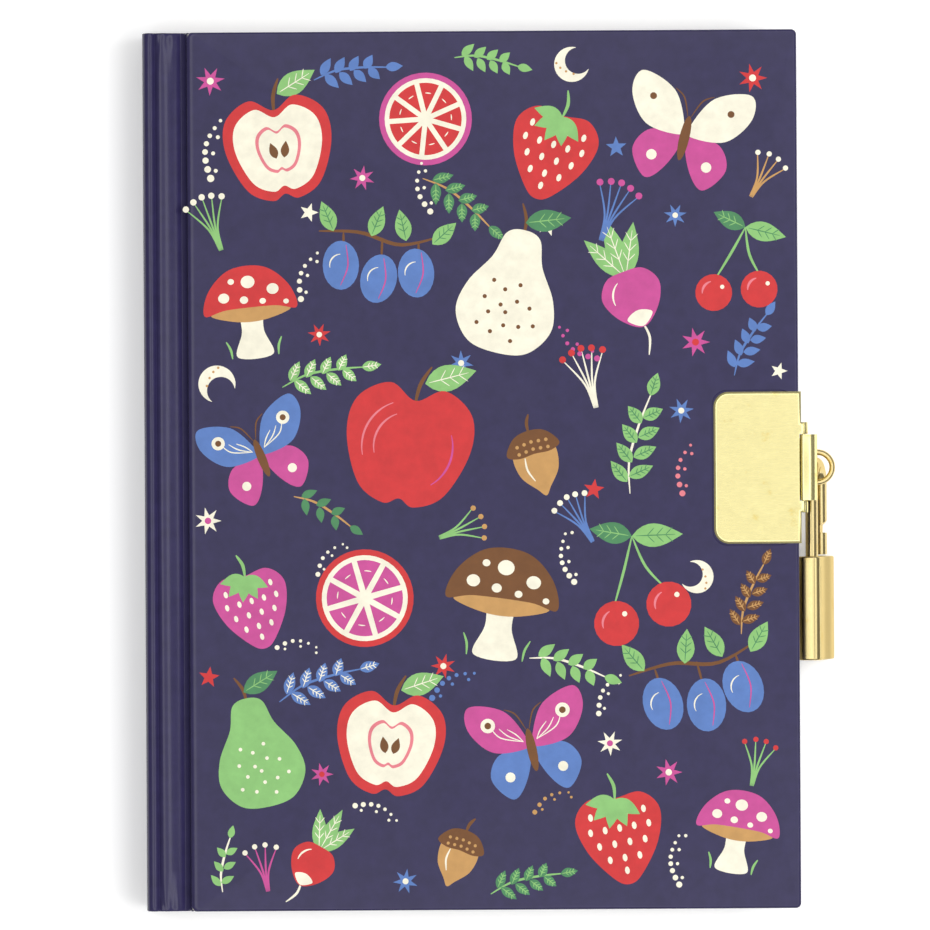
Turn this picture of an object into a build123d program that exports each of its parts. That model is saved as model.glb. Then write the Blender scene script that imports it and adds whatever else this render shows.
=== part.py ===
from build123d import *
import math
import os

# A case-bound diary, closed, lying on its back cover. X runs to the fore edge, Y to the head,
# Z up. The origin is at the middle of the back cover's underside. Millimetres.

# Case
book_width = 134.0
book_height = 180.0
board_thickness = 2.2
wrap_thickness = 0.3
pastedown_thickness = 0.3
turn_in_margin = 3.0
pastedown_clearance = 0.1
board_start = 9.4
spine_board_thickness = 1.5
spine_board_clearance = 0.3
spine_corner_radius = 2.0
crest_width = 5.9

# Cover hinges, each in the groove between the spine and a board
hinge_from_spine = 7.6
hinge_depth = 0.65
crest_below_hinge = 0.9
groove_radius = 1.6
groove_start_angle = 205.0
groove_end_angle = 320.0

# Text block
square_head = 3.0
square_fore = 3.2
section_count = 4
section_thickness = 2.25
leaf_group_count = 4
leaf_group_thickness = 0.8
flyleaf_thickness = 0.2
shoulder_from_spine = 5.4
back_round = 2.8
lining_thickness = 0.4
band_length = 1.0
band_depth = 1.0
leaf_hinge_from_spine = 9.6
leaf_fold_clearance = 0.1

# Front plate and hasp
lock_y = 0.25
plate_length = 31.1
plate_reach = 17.4
plate_thickness = 0.4
plate_proud = 0.3
plate_corner_radius = 3.1
plate_overhang = 0.5
plate_edge_inset = 0.05
prong_thickness = 0.4
prong_width = 2.5
prong_depth = 1.5
prong_spacing_x = 10.0
prong_spacing_y = 22.0
pin_radius = 0.4
knuckle_offset = 1.05
knuckle_length = 2.4
knuckle_gap = 0.1
knuckle_clearance = 0.02
hasp_clearance = 0.05
hasp_width = 13.5
hasp_reach = 3.85
hasp_bend_radius = 1.9
hasp_step = 2.7
hasp_step_high_z = 15.9
hasp_step_low_z = 13.5
hasp_tip_z = 9.4
hasp_slot_clearance = 0.65

# Back plate and staple
back_plate_thickness = 0.5
tab_thickness = 0.6
tab_bend_radius = 0.45
tab_width = 12.0
tab_above_staple = 2.0
staple_wire_radius = 0.6
staple_radius = 3.1
staple_reach = 4.1
staple_z = 10.4

# Padlock, built upright in its own axes and then leaned over
lean_angle = 15.5
lock_mid_from_edge = 3.9
lock_mid_z = 8.5
shackle_wire_radius = 1.3
leg_spacing = 8.1
bend_y = -3.09
case_top_y = -18.05
case_height = 21.3
case_width = 14.4
case_thickness = 4.7
case_wall = 0.4
case_side_radius = 1.5
case_edge_radius = 0.35
leg_hole_clearance = 0.05
toe_gap = 0.3
heel_depth = 5.5
shackle_travel = 9.0
notch_from_toe = 4.5
notch_length = 1.5
notch_ramp = 2.0
notch_depth = 1.15
clip_radius = 1.75
clip_thickness = 0.5
clip_from_end = 0.6
clip_groove_radius = 0.9
clip_clearance = 0.08
clip_side_clearance = 0.05
clip_mouth = 1.45
rivet_radius = 0.35
rivet_inset_x = 1.0
rivet_inset_y = 1.7
plug_radius = 1.4
plug_length = 7.4
plug_end_clearance = 0.1
plug_neck_radius = 1.1
plug_neck_clearance = 0.06
keyway_width = 0.5
keyway_height = 1.6
keyway_depth = 5.0
peg_radius = 0.3
peg_length = 1.0
peg_offset = 1.0
peg_clearance = 0.18
bolt_thickness = 0.6
bolt_floor = 0.9
bolt_seat_clearance = 0.05
bolt_stem_width = 2.4
bolt_arm_width = 1.0
bolt_tip_gap = 0.2
bolt_foot_gap = 0.3
pivot_radius = 0.5
pivot_clearance = 0.05
pivot_seat_radius = 1.1
retainer_thickness = 0.6

# Levels and places that follow from the sizes above
spine_x = -book_width / 2
fore_x = book_width / 2
head_y = book_height / 2
cover_thickness = wrap_thickness + board_thickness + pastedown_thickness
leaf_stack = leaf_group_count * leaf_group_thickness + flyleaf_thickness
block_thickness = flyleaf_thickness + section_count * section_thickness + leaf_stack
block_low = cover_thickness
block_high = block_low + block_thickness
top_z = block_high + cover_thickness
mid_z = top_z / 2
hinge_x = spine_x + hinge_from_spine
hinge_z = top_z - hinge_depth
crest_z = hinge_z - crest_below_hinge
board_x = spine_x + board_start
page_head_y = head_y - square_head
page_fore_x = fore_x - square_fore
shoulder_x = spine_x + shoulder_from_spine
back_half = block_thickness / 2
back_radius = (back_half ** 2 + back_round ** 2) / (2 * back_round)
back_centre_x = shoulder_x - back_round + back_radius
leaf_hinge_x = spine_x + leaf_hinge_from_spine
knuckle_x = fore_x + knuckle_offset
knuckle_bore = pin_radius + knuckle_clearance
knuckle_radius = knuckle_bore + plate_thickness
plate_top_z = top_z + plate_proud
knuckle_z = plate_top_z - knuckle_radius
plate_x = fore_x - plate_reach
hasp_face_x = fore_x + hasp_reach
fork_face_x = hasp_face_x - hasp_step
staple_x = fore_x + staple_reach
heel_x = -leg_spacing / 2
toe_x = leg_spacing / 2
toe_end_y = case_top_y + toe_gap
heel_end_y = case_top_y - heel_depth
case_low_y = case_top_y - case_height
half_case = case_thickness / 2
half_cavity = half_case - case_wall
cavity_low_y = case_low_y + case_wall
cavity_x = case_width / 2 - case_wall
notch_y = toe_end_y + notch_from_toe
plug_low_y = cavity_low_y + plug_end_clearance
plug_top_y = plug_low_y + plug_length
peg_swing = peg_offset * math.sin(math.radians(45))
bolt_low_z = bolt_floor - bolt_thickness
latch_y = notch_y + notch_length / 2 - shackle_travel
pivot_y = (plug_top_y + latch_y) / 2
peg_reach = pivot_y - plug_top_y - peg_length / 2
bolt_angle = math.degrees(math.asin(peg_swing / peg_reach))


def slab(x_low, x_high, y_low, y_high, z_low, z_high):
    """A box given by its low and high sides."""
    box = Box(x_high - x_low, y_high - y_low, z_high - z_low, align=(Align.MIN, Align.MIN, Align.MIN))
    return Pos(x_low, y_low, z_low) * box


def along_y(sketch, y_low, y_high):
    """A profile drawn in X and Z, carried from y_low to y_high."""
    return extrude(Plane.XZ.offset(-y_high) * sketch, amount=y_high - y_low)


def rod(x, z, radius, y_low, y_high):
    """A round bar along Y."""
    return along_y(Pos(x, z) * Circle(radius), y_low, y_high)


def flip(shape):
    """The same piece turned over to the other side of the book's middle plane."""
    return mirror(shape, about=Plane.XY.offset(mid_z))


def lock_place(shape):
    """Carries a piece from the padlock's own axes to its leaning place beside the book."""
    lean = math.radians(lean_angle)
    across = (math.sin(lean), 0, -math.cos(lean))
    normal = (math.cos(lean), 0, math.sin(lean))
    frame = Plane(origin=(fore_x + lock_mid_from_edge, 0, lock_mid_z), x_dir=across, z_dir=normal)
    return shape.moved(frame.location)


# Case: boards, wraps, pastedowns, spine and groove strips, drawn for the front cover

def cover_board():
    return slab(board_x, fore_x - wrap_thickness, wrap_thickness - head_y, head_y - wrap_thickness,
                block_high + pastedown_thickness, top_z - wrap_thickness)


def cover_wrap():
    """A tray of covering paper round three edges of the board, its turn-ins framing the pastedown."""
    outside = slab(board_x, fore_x, -head_y, head_y, block_high, top_z)
    edge = turn_in_margin
    window = slab(board_x, fore_x - edge, edge - head_y, head_y - edge, block_high,
                  block_high + pastedown_thickness)
    return outside - cover_board() - window


def cover_pastedown():
    edge = turn_in_margin + pastedown_clearance
    return slab(board_x, fore_x - edge, edge - head_y, head_y - edge, block_high,
                block_high + pastedown_thickness)


def groove_strip():
    """The covering paper's trough, round the cover's hinge line."""
    reach = 4 * groove_radius
    start = math.radians(groove_start_angle)
    end = math.radians(groove_end_angle)
    wedge = Polygon((0, 0), (reach * math.cos(start), reach * math.sin(start)), (0, -reach),
                    (reach * math.cos(end), reach * math.sin(end)), align=None)
    ring = Circle(groove_radius + wrap_thickness) - Circle(groove_radius)
    return along_y(Pos(hinge_x, hinge_z) * (ring & wedge), -head_y, head_y)


def spine_wrap():
    """The covering paper round the spine board, from one groove to the other."""
    height = 2 * (crest_z - mid_z)
    width = 2 * crest_width
    outer = Pos(spine_x + crest_width, mid_z) * RectangleRounded(width, height, spine_corner_radius)
    skin = 2 * wrap_thickness
    inner = RectangleRounded(width - skin, height - skin, spine_corner_radius - wrap_thickness)
    shell = outer - Pos(spine_x + crest_width, mid_z) * inner
    keep = Pos(spine_x + crest_width / 2, mid_z) * Rectangle(crest_width, height)
    return along_y(shell & keep, -head_y, head_y)


def spine_board():
    inner_x = spine_x + wrap_thickness
    half = crest_z - mid_z - spine_corner_radius - spine_board_clearance
    return slab(inner_x, inner_x + spine_board_thickness, wrap_thickness - head_y,
                head_y - wrap_thickness, mid_z - half, mid_z + half)


# Text block: sewn sections with a rounded back, turning leaves, lining and bands

def block_prism():
    """The whole stack of paper between the covers."""
    upper = (shoulder_x, block_high)
    lower = (shoulder_x, block_low)
    back = ThreePointArc(upper, (shoulder_x - back_round, mid_z), lower)
    edges = Polyline(lower, (page_fore_x, block_low), (page_fore_x, block_high), upper)
    return along_y(make_face([back, edges]), -page_head_y, page_head_y)


def layer(x_low, x_high, z_low, z_high):
    """The part of the paper stack between two heights and two distances from the spine."""
    return block_prism() & slab(x_low, x_high, -page_head_y, page_head_y, z_low, z_high)


def back_strip(depth_in, depth_out, y_low, y_high):
    """A curved strip that follows the block's rounded back."""
    ring = Circle(back_radius + depth_out) - Circle(back_radius - depth_in)
    keep = Rectangle(shoulder_x - spine_x, block_thickness, align=(Align.MIN, Align.CENTER))
    strip = (Pos(back_centre_x, mid_z) * ring) & (Pos(spine_x, mid_z) * keep)
    return along_y(strip, y_low, y_high)


# Front plate, hasp, back plate and staple

def knuckle(bore, y_low, y_high):
    barrel = Circle(knuckle_radius) - Circle(bore)
    return along_y(Pos(knuckle_x, knuckle_z) * barrel, y_low, y_high)


def plate_knuckle_spans():
    """Low and high Y of the plate's two knuckles, one at each side of the hasp."""
    low = lock_y - hasp_width / 2 - knuckle_gap
    high = lock_y + hasp_width / 2 + knuckle_gap
    return [(low - knuckle_length, low), (high, high + knuckle_length)]


def front_plate():
    sheet_low = plate_top_z - plate_thickness
    edge_x = fore_x + plate_overhang
    length = edge_x - plate_x
    blank = Pos(plate_x + length / 2, lock_y) * Rectangle(length, plate_length)
    corners = blank.vertices().group_by(Axis.X)[0]
    blank = fillet(corners, plate_corner_radius)
    plate = Pos(0, 0, sheet_low) * extrude(blank, amount=plate_thickness)
    spans = plate_knuckle_spans()
    hasp_low = spans[0][1]
    hasp_high = spans[1][0]
    plate -= slab(fore_x - plate_edge_inset, edge_x, hasp_low, hasp_high, sheet_low, plate_top_z)
    for y_low, y_high in spans:
        plate += knuckle(knuckle_bore, y_low, y_high)
        plate += slab(fore_x, knuckle_x, y_low, y_high, sheet_low, plate_top_z)
    prong_x = plate_x + length / 2
    for side_x in (-1, 1):
        for side_y in (-1, 1):
            x = prong_x + side_x * prong_spacing_x / 2
            y = lock_y + side_y * prong_spacing_y / 2
            plate += slab(x - prong_thickness / 2, x + prong_thickness / 2, y - prong_width / 2,
                          y + prong_width / 2, sheet_low - prong_depth, sheet_low)
    return plate


def hasp_pin():
    spans = plate_knuckle_spans()
    return rod(knuckle_x, knuckle_z, pin_radius, spans[0][0], spans[1][1])


def hasp():
    """Rolled knuckle, a short flat, and a tongue bent down, stepped in to the fore edge and forked at its tip."""
    y_low = lock_y - hasp_width / 2
    y_high = lock_y + hasp_width / 2
    bend_x = hasp_face_x - hasp_bend_radius
    bend_z = plate_top_z - hasp_bend_radius
    bend_inner = hasp_bend_radius - plate_thickness
    corner = Rectangle(hasp_bend_radius, hasp_bend_radius, align=(Align.MIN, Align.MIN))
    bend = (Circle(hasp_bend_radius) - Circle(bend_inner)) & corner
    tongue = knuckle(pin_radius + hasp_clearance, y_low, y_high)
    tongue += slab(knuckle_x, bend_x, y_low, y_high, plate_top_z - plate_thickness, plate_top_z)
    tongue += along_y(Pos(bend_x, bend_z) * bend, y_low, y_high)
    slope = math.atan2(hasp_step, hasp_step_high_z - hasp_step_low_z)
    lift = plate_thickness * math.tan(slope / 2)
    inner_x = hasp_face_x - plate_thickness
    fork_inner_x = fork_face_x - plate_thickness
    leg = Polyline((hasp_face_x, bend_z), (hasp_face_x, hasp_step_high_z), (fork_face_x, hasp_step_low_z),
                   (fork_face_x, hasp_tip_z), (fork_inner_x, hasp_tip_z), (fork_inner_x, hasp_step_low_z + lift),
                   (inner_x, hasp_step_high_z + lift), (inner_x, bend_z), close=True)
    tongue += along_y(make_face(leg), y_low, y_high)
    slot_half = staple_radius + staple_wire_radius + hasp_slot_clearance
    slot_top = staple_z + staple_wire_radius + hasp_slot_clearance
    slot = slab(fork_inner_x, fork_face_x, lock_y - slot_half, lock_y + slot_half, hasp_tip_z, slot_top)
    bore = rod(knuckle_x, knuckle_z, pin_radius + hasp_clearance, y_low, y_high)
    return tongue - slot - bore


def staple():
    """A bent wire loop, level with the book, with its two feet through the back plate's tab."""
    foot_low = (fore_x, lock_y - staple_radius)
    foot_high = (fore_x, lock_y + staple_radius)
    turn_low = (staple_x, lock_y - staple_radius)
    turn_high = (staple_x, lock_y + staple_radius)
    path = Line(foot_low, turn_low)
    path += ThreePointArc(turn_low, (staple_x + staple_radius, lock_y), turn_high)
    path += Line(turn_high, foot_high)
    start = Plane(origin=(fore_x, lock_y - staple_radius, 0), z_dir=(1, 0, 0))
    return Pos(0, 0, staple_z) * sweep(start * Circle(staple_wire_radius), path=path)


def back_plate():
    """A flat plate let into the back cover, with a tab turned up outside the fore edge."""
    blank = Pos(plate_x + plate_reach / 2, lock_y) * Rectangle(plate_reach, plate_length)
    blank = fillet(blank.vertices().group_by(Axis.X)[0], plate_corner_radius)
    plate = extrude(blank, amount=back_plate_thickness)
    tab_low = lock_y - tab_width / 2
    tab_high = lock_y + tab_width / 2
    tab_top = staple_z + staple_wire_radius + tab_above_staple
    tab = slab(fore_x, fore_x + tab_thickness, tab_low, tab_high, 0, tab_top)
    crease = tab.edges().filter_by(Axis.Y).group_by(Axis.Z)[0].sort_by(Axis.X)[-1]
    tab = fillet(crease, tab_bend_radius)
    top_corners = tab.edges().filter_by(Axis.X).group_by(Axis.Z)[-1]
    tab = fillet(top_corners, plate_corner_radius)
    return plate + tab - staple()


# Padlock, in its own axes: X across the two legs, Y along them, Z through the case

def shackle():
    heel = (heel_x, heel_end_y)
    toe = (toe_x, toe_end_y)
    path = Line(heel, (heel_x, bend_y))
    path += ThreePointArc((heel_x, bend_y), (0, bend_y + leg_spacing / 2), (toe_x, bend_y))
    path += Line((toe_x, bend_y), toe)
    section = Plane(origin=(heel_x, heel_end_y, 0), z_dir=(0, 1, 0)) * Circle(shackle_wire_radius)
    wire = sweep(section, path=path)
    deep = shackle_wire_radius - notch_depth
    outside = 2 * shackle_wire_radius
    notch_high = notch_y + notch_length
    notch = Polyline((notch_y, outside), (notch_y, deep), (notch_high, deep),
                     (notch_high + notch_ramp, outside), close=True)
    cutter = extrude(Plane.YZ.offset(toe_x - leg_spacing / 4) * make_face(notch), amount=leg_spacing / 2)
    clip_low = heel_end_y + clip_from_end - clip_side_clearance
    clip_high = heel_end_y + clip_from_end + clip_thickness + clip_side_clearance
    groove = Circle(2 * shackle_wire_radius) - Circle(clip_groove_radius)
    return wire - cutter - along_y(Pos(heel_x, 0) * groove, clip_low, clip_high)


def heel_clip():
    """An open clip in the heel leg's groove that keeps the shackle from pulling out."""
    low = heel_end_y + clip_from_end
    bore = clip_groove_radius + clip_clearance
    mouth = Pos(-clip_radius, 0) * Rectangle(2 * clip_radius, clip_mouth)
    ring = Circle(clip_radius) - Circle(bore) - mouth
    return along_y(Pos(heel_x, 0) * ring, low, low + clip_thickness)


def case_block():
    """The outside of the case: a flat tube with rounded sides and closed ends."""
    block = along_y(RectangleRounded(case_width, case_thickness, case_side_radius), case_low_y, case_top_y)
    ends = block.faces().filter_by(Axis.Y)
    return fillet(ends.edges(), case_edge_radius)


def rivet_places():
    x = case_width / 2 - rivet_inset_x
    return [(sx * x, y) for sx in (-1, 1) for y in (case_low_y + rivet_inset_y, case_top_y - rivet_inset_y)]


def case_shell(side):
    """One pressed half of the case, on the side of positive or negative Z."""
    solid = case_block()
    bounds = (-case_width / 2, case_width / 2, case_low_y, case_top_y)
    other_half = slab(*bounds, -half_case, 0) if side > 0 else slab(*bounds, 0, half_case)
    cavity = RectangleRounded(2 * cavity_x, 2 * half_cavity, case_side_radius - case_wall)
    shell = solid - along_y(cavity, cavity_low_y, case_top_y - case_wall)
    for x, y in rivet_places():
        shell += Pos(x, y, 0) * Cylinder(2 * rivet_radius, case_thickness) & solid
    shell -= other_half
    for x, y in rivet_places():
        shell -= Pos(x, y, 0) * Cylinder(rivet_radius, case_thickness)
    for x in (heel_x, toe_x):
        shell -= rod(x, 0, shackle_wire_radius + leg_hole_clearance, case_top_y - 2 * case_wall, case_top_y)
    return shell - rod(0, 0, plug_neck_radius + plug_neck_clearance, case_low_y, cavity_low_y)


def pivot_pad(radius, z_low, z_high):
    """A round pad at the bolt's pivot."""
    return extrude(Plane.XY.offset(z_low) * Pos(0, pivot_y) * Circle(radius), amount=z_high - z_low)


def front_shell():
    """The half with a seat and a post that the bolt turns on."""
    seat = pivot_pad(pivot_seat_radius, bolt_floor + bolt_seat_clearance, half_cavity)
    post = pivot_pad(pivot_radius, bolt_low_z, half_cavity)
    return case_shell(1) + seat + post


def rear_shell():
    """The half with a web above the plug that keeps it from sliding in."""
    low = plug_top_y + plug_end_clearance
    web = slab(-plug_radius, plug_radius, low, low + retainer_thickness, -half_cavity, -peg_radius)
    return case_shell(-1) + web


def rivets():
    solid = case_block()
    pins = [Pos(x, y, 0) * Cylinder(rivet_radius, case_thickness) & solid for x, y in rivet_places()]
    return Compound(children=pins)


def key_plug():
    """The turning plug, keyway at its outer end and an off-centre peg at its inner end."""
    plug = rod(0, 0, plug_radius, plug_low_y, plug_top_y)
    plug += rod(0, 0, plug_neck_radius, case_low_y, plug_low_y)
    plug += rod(peg_swing, peg_swing, peg_radius, plug_top_y, plug_top_y + peg_length)
    keyway = slab(-keyway_width / 2, keyway_width / 2, case_low_y, case_low_y + keyway_depth,
                  -keyway_height / 2, keyway_height / 2)
    return plug - keyway


def lock_bolt():
    """A rocking bolt: a fork over the plug's peg, a stem on the post, an arm that swings into the notch."""
    turn = math.radians(bolt_angle)
    free_x = toe_x - shackle_wire_radius - bolt_tip_gap
    rise = latch_y - pivot_y
    tip_x = (free_x * math.cos(turn) + rise * math.sin(turn)) / math.cos(2 * turn)
    arm_y = (rise + tip_x * math.sin(turn)) / math.cos(turn)
    foot_y = plug_top_y + bolt_foot_gap - pivot_y
    fork_top = plug_top_y + peg_length + 2 * peg_clearance - pivot_y
    fork_half = peg_radius + peg_clearance
    half_stem = bolt_stem_width / 2
    half_arm = bolt_arm_width / 2
    bolt = slab(-half_stem, half_stem, foot_y, arm_y + half_arm, bolt_low_z, bolt_floor)
    bolt += slab(-half_stem, tip_x, arm_y - half_arm, arm_y + half_arm, bolt_low_z, bolt_floor)
    bolt -= slab(-fork_half, fork_half, foot_y, fork_top, bolt_low_z, bolt_floor)
    bolt -= Cylinder(pivot_radius + pivot_clearance, case_thickness)
    return Pos(0, pivot_y, 0) * Rot(0, 0, bolt_angle) * bolt


def make_parts():
    parts = {}
    parts["front_plate"] = front_plate()
    parts["hasp_pin"] = hasp_pin()
    parts["hasp"] = hasp()
    parts["staple"] = staple()
    parts["back_plate"] = back_plate()

    parts["front_board"] = cover_board() - parts["front_plate"]
    parts["front_cover_wrap"] = cover_wrap() - parts["front_plate"]
    parts["front_pastedown"] = cover_pastedown()
    parts["back_board"] = flip(cover_board()) - parts["back_plate"]
    parts["back_cover_wrap"] = flip(cover_wrap()) - parts["back_plate"]
    parts["back_pastedown"] = flip(cover_pastedown())
    parts["front_groove_strip"] = groove_strip()
    parts["back_groove_strip"] = flip(groove_strip())
    parts["spine_wrap"] = spine_wrap()
    parts["spine_board"] = spine_board()

    level = block_low
    parts["back_flyleaf"] = layer(spine_x, fore_x, level, level + flyleaf_thickness)
    level += flyleaf_thickness
    for number in range(1, section_count + 1):
        parts[f"section_{number}"] = layer(spine_x, fore_x, level, level + section_thickness)
        level += section_thickness
    leaf_start = leaf_hinge_x + leaf_fold_clearance
    parts["leaf_folds"] = layer(spine_x, leaf_hinge_x - leaf_fold_clearance, level, block_high)
    for number in range(1, leaf_group_count + 1):
        parts[f"leaves_{number}"] = layer(leaf_start, fore_x, level, level + leaf_group_thickness)
        level += leaf_group_thickness
    parts["front_flyleaf"] = layer(leaf_start, fore_x, level, block_high)
    parts["spine_lining"] = back_strip(0, lining_thickness, -page_head_y, page_head_y)
    parts["head_band"] = back_strip(band_depth, lining_thickness, page_head_y, page_head_y + band_length)
    parts["tail_band"] = back_strip(band_depth, lining_thickness, -page_head_y - band_length, -page_head_y)

    parts["shackle"] = lock_place(shackle())
    parts["heel_clip"] = lock_place(heel_clip())
    parts["padlock_front_shell"] = lock_place(front_shell())
    parts["padlock_back_shell"] = lock_place(rear_shell())
    parts["padlock_rivets"] = lock_place(rivets())
    parts["key_plug"] = lock_place(key_plug())
    parts["lock_bolt"] = lock_place(lock_bolt())
    return parts


def main():
    os.makedirs("parts", exist_ok=True)
    for name, shape in make_parts().items():
        export_step(shape, f"parts/{name}.step")


main()
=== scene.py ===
import math
import random

import bmesh
import bpy
from mathutils import Matrix, Vector


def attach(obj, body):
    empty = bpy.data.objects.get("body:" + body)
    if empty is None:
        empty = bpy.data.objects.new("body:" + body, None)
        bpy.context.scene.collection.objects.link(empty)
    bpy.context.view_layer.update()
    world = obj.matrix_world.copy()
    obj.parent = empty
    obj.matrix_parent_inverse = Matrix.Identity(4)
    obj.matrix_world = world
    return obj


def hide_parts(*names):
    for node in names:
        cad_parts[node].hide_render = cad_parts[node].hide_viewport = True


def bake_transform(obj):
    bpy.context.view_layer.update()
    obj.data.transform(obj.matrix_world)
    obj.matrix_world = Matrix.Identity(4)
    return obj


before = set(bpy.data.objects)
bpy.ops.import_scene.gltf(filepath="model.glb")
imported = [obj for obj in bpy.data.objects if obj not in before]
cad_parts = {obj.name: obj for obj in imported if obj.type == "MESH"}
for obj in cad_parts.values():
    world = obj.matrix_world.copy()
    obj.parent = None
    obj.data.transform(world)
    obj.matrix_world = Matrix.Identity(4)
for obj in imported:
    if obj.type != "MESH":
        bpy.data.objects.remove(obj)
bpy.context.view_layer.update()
rng = random.Random(11)

MM = 0.001


def packed_box(node):
    """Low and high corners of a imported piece, in millimetres."""
    obj = bpy.data.objects[node]
    points = [obj.matrix_world @ vert.co / MM for vert in obj.data.vertices]
    return [[round(pick(p[axis] for p in points), 2) for axis in range(3)] for pick in (min, max)]


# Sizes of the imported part, in millimetres: +X is the fore edge, +Y the head, +Z the front cover
COVER_LOW, COVER_HIGH = packed_box("front_cover_wrap")
FORE_X, HEAD_Y, TOP_Z = COVER_HIGH
MID_Z = TOP_Z / 2
SPINE_X = packed_box("spine_wrap")[0][0]
BLOCK_LOW = packed_box("back_flyleaf")[0][2]
BLOCK_HIGH = COVER_LOW[2]
PAGE_X, PAGE_Y = packed_box("section_1")[1][:2]
BACK_CENTRE_X = -55.91  # the block's rounded back
BACK_RADIUS = 8.49
PLATE_LOW, PLATE_HIGH = packed_box("front_plate")
PLATE_X = PLATE_LOW[0]
PLATE_LENGTH = PLATE_HIGH[1] - PLATE_LOW[1]
LOCK_Y = (PLATE_LOW[1] + PLATE_HIGH[1]) / 2
NOTCH_X = 66.95  # bottom of the plate's notch for the hasp, and half its length
HASP_NOTCH = 7.4

# The padlock's own axes are the columns: across the legs, along them, and out of the front face
LOCK_LEAN = math.radians(15.5)
LOCK_MID = Vector((70.9, 0.0, 8.5))
LOCK_AXES = Matrix(((math.sin(LOCK_LEAN), 0, math.cos(LOCK_LEAN)), (0, 1, 0),
                    (-math.cos(LOCK_LEAN), 0, math.sin(LOCK_LEAN))))
CASE_HALF = Vector((7.2, 10.65, 2.35))
CASE_MID_Y = -28.7
CASE_SIDE = 1.5
CASE_EDGE = 0.35


# Mesh helpers

def finish_mesh(bm, name, smooth_angle=35.0):
    """Turns a bmesh in millimetres into an object in metres with smooth faces and sharp creases."""
    bmesh.ops.recalc_face_normals(bm, faces=bm.faces)
    limit = math.radians(smooth_angle)
    for face in bm.faces:
        face.smooth = True
    for edge in bm.edges:
        edge.smooth = len(edge.link_faces) == 2 and edge.calc_face_angle(0.0) < limit
    for vert in bm.verts:
        vert.co *= MM
    mesh = bpy.data.meshes.new(name)
    bm.to_mesh(mesh)
    bm.free()
    obj = bpy.data.objects.new(name, mesh)
    bpy.context.scene.collection.objects.link(obj)
    return obj


def dress(obj, body, mat, nodes=()):
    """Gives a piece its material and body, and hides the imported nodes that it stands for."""
    obj.data.materials.clear()
    obj.data.materials.append(mat)
    if body:
        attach(obj, body)
    if nodes:
        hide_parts(*nodes)
    return obj


def skin(bm, loops):
    """Skins closed loops of equal length one after the other and closes both ends."""
    rings = [[bm.verts.new(p) for p in loop] for loop in loops]
    count = len(rings[0])
    for a, b in zip(rings, rings[1:]):
        for i in range(count):
            j = (i + 1) % count
            bm.faces.new((a[i], a[j], b[j], b[i]))
    bm.faces.new(rings[0][::-1])
    bm.faces.new(rings[-1])


def quarter(steps):
    """Angles from 0 to 90 degrees in equal steps."""
    return [math.radians(90 * i / steps) for i in range(steps + 1)]


def round_rect(x0, x1, y0, y1, radius, steps=6):
    """Outline of a rectangle with rounded corners."""
    points = []
    for cx, cy, start in ((x1 - radius, y1 - radius, 0), (x0 + radius, y1 - radius, 90),
                          (x0 + radius, y0 + radius, 180), (x1 - radius, y0 + radius, 270)):
        for i in range(steps + 1):
            a = math.radians(start + 90 * i / steps)
            points.append((cx + radius * math.cos(a), cy + radius * math.sin(a)))
    return points


def bevel(bm, edges, width, segments):
    bmesh.ops.bevel(bm, geom=edges, offset=width, segments=segments, profile=0.5, affect="EDGES",
                    clamp_overlap=True)


def sharp_edges(bm, angle=30.0):
    """Edges whose faces meet at more than the angle, in degrees."""
    limit = math.radians(angle)
    return [e for e in bm.edges if len(e.link_faces) == 2 and e.calc_face_angle(0.0) > limit]


def softened(node, name, body, mat, width, segments=2, shape=None):
    """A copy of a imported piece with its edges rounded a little, which stands for it. shape works on it first."""
    source = bpy.data.objects[node]
    bm = bmesh.new()
    bm.from_mesh(source.data)
    bm.transform(source.matrix_world)
    for vert in bm.verts:
        vert.co /= MM
    bmesh.ops.remove_doubles(bm, verts=bm.verts, dist=1e-4)
    bmesh.ops.dissolve_limit(bm, angle_limit=math.radians(1.0), verts=bm.verts, edges=bm.edges)
    if shape:
        shape(bm)
    bevel(bm, sharp_edges(bm), width, segments)
    bm.normal_update()
    bmesh.ops.triangulate(bm, faces=[f for f in bm.faces if len(f.verts) > 4])
    return dress(finish_mesh(bm, name, 40.0), body, mat, (node,))


# Materials

def new_material(name):
    """A material with one plain shader, and its nodes and links."""
    mat = bpy.data.materials.new(name)
    mat.use_nodes = True
    nodes = mat.node_tree.nodes
    nodes.clear()
    out = nodes.new("ShaderNodeOutputMaterial")
    shader = nodes.new("ShaderNodeBsdfPrincipled")
    mat.node_tree.links.new(shader.outputs["BSDF"], out.inputs["Surface"])
    return mat, nodes, mat.node_tree.links, shader


def coords(nodes, links, scale=(1, 1, 1)):
    """Object coordinates in millimetres, stretched by scale."""
    place = nodes.new("ShaderNodeTexCoord")
    mapping = nodes.new("ShaderNodeMapping")
    mapping.inputs["Scale"].default_value = tuple(s / MM for s in scale)
    links.new(place.outputs["Object"], mapping.inputs["Vector"])
    return mapping.outputs["Vector"]


def noise(nodes, links, vector, scale, detail=3.0, rough=0.5):
    tex = nodes.new("ShaderNodeTexNoise")
    tex.inputs["Scale"].default_value = scale
    tex.inputs["Detail"].default_value = detail
    tex.inputs["Roughness"].default_value = rough
    links.new(vector, tex.inputs["Vector"])
    return tex.outputs["Fac"]


def ramp(nodes, links, fac, stops):
    """stops are (place, colour) pairs."""
    node = nodes.new("ShaderNodeValToRGB")
    elements = node.color_ramp.elements
    while len(elements) < len(stops):
        elements.new(0.5)
    for element, (place, colour) in zip(elements, stops):
        element.position = place
        element.color = (*colour, 1.0)
    links.new(fac, node.inputs["Fac"])
    return node.outputs["Color"]


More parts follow.
